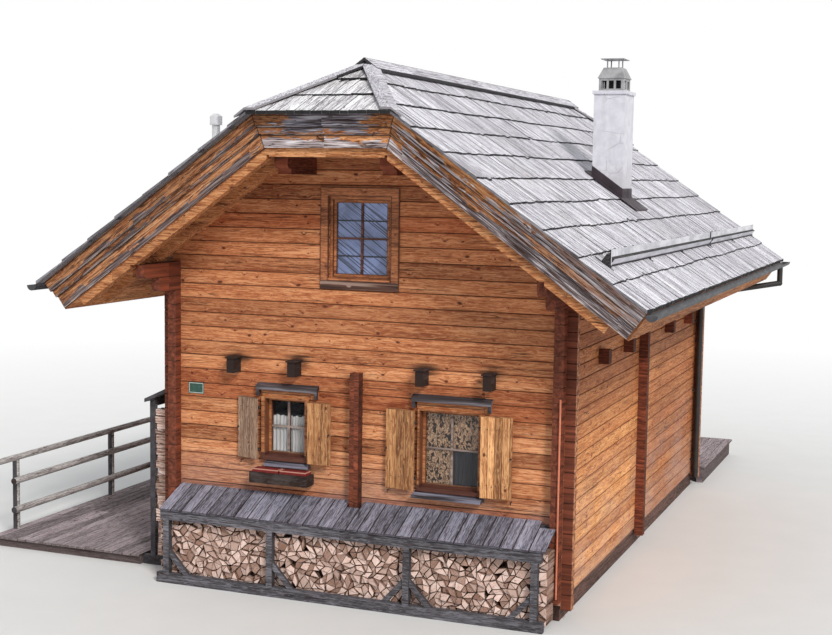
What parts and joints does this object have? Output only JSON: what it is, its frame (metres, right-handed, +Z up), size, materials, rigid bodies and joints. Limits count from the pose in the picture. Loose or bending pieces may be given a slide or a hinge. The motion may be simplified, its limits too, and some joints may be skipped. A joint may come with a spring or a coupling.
{
  "type": "alpine log chalet",
  "caption": "Small alpine log chalet with a half-hipped board roof, shuttered windows, white chimney, lean-to wood stores and a side deck with a railing.",
  "frame": {"origin": "on the ground under the middle of the log walls, on the underside of the middle floor sleeper", "axes": "+X to the right along the front wall, +Y from the front to the back, +Z up"},
  "size_m": [9.871, 13.02, 7.162],
  "materials": {
    "log_wood": "planed spruce logs, orange-brown and weathered",
    "inner_wood": "plain inner boards",
    "plinth_stain": "dark stained boards at the ground",
    "dark_wood": "dark weathered wood",
    "roof_timber": "honey-coloured rafters and soffit boards",
    "silver_wood": "silver-grey roof boards",
    "barge_wood": "barge boards weathered from orange to grey",
    "zinc": "dull zinc sheet",
    "dark_metal": "near-black pipe",
    "brown_metal": "dark brown sheet",
    "copper": "dull copper rod",
    "plaster": "white lime plaster",
    "joinery": "stained window timber",
    "window_glass": "clear panes",
    "curtain": "thin white cotton",
    "shutter_wood": "yellow-brown boards",
    "plate_green": "green enamel with a pale rim",
    "grey_wood": "blue-grey weathered wood",
    "firewood": "split firewood, pale ends",
    "deck_wood": "weathered deck boards"
  },
  "bodies": {
    "house": {"plinth": "plinth_stain", "ground_floor": "inner_wood", "front_wall": "log_wood", "rear_wall": "log_wood", "right_wall": "log_wood", "left_wall": "log_wood", "cross_wall_ends": "log_wood", "long_joists": "dark_wood", "cross_joists": "log_wood", "upper_floor": "inner_wood", "middle_purlins": "log_wood", "rafters": "roof_timber", "roof_body_right": "roof_timber", "roof_body_left": "roof_timber", "roof_body_hips": "roof_timber", "roof_boards_right": "silver_wood", "roof_boards_left": "silver_wood", "hip_boards": "silver_wood", "roof_caps": "silver_wood", "barge_boards_front": "barge_wood", "barge_boards_rear": "barge_wood", "eave_boards": "roof_timber", "gutters": "zinc", "downpipe": "dark_metal", "chimney": "plaster", "chimney_cowl": "zinc", "chimney_flashing": "brown_metal", "vent_pipe": "zinc", "snow_guards": "zinc", "conductor": "copper", "gable_window": "joinery", "left_window": "joinery", "right_window": "joinery", "window_glass": "window_glass", "curtains": "curtain", "flower_box": "dark_wood", "number_plate": "plate_green", "store_frame": "grey_wood", "store_roof": "grey_wood", "store_firewood": "firewood", "side_store": "dark_wood", "side_firewood": "firewood", "deck": "deck_wood", "railing": "grey_wood", "rear_door": "joinery", "rear_platform": "grey_wood"},
    "left_shutter_a": {"left_shutter_a": "shutter_wood"},
    "left_shutter_b": {"left_shutter_b": "shutter_wood"},
    "right_shutter_a": {"right_shutter_a": "shutter_wood"},
    "right_shutter_b": {"right_shutter_b": "shutter_wood"}
  },
  "joints": [
    {"name": "left_shutter_a_hinge", "type": "hinge", "parent": "house", "child": "left_shutter_a", "pos_m": [-1.369, -4.405, 1.7], "axis": [0, 0, 1], "range_deg": [0, 194]},
    {"name": "left_shutter_b_hinge", "type": "hinge", "parent": "house", "child": "left_shutter_b", "pos_m": [-0.671, -4.405, 1.7], "axis": [0, 0, 1], "range_deg": [-180, 0]},
    {"name": "right_shutter_a_hinge", "type": "hinge", "parent": "house", "child": "right_shutter_a", "pos_m": [0.836, -4.405, 1.5], "axis": [0, 0, 1], "range_deg": [0, 188]},
    {"name": "right_shutter_b_hinge", "type": "hinge", "parent": "house", "child": "right_shutter_b", "pos_m": [1.684, -4.405, 1.5], "axis": [0, 0, 1], "range_deg": [-185, 0]}
  ]
}
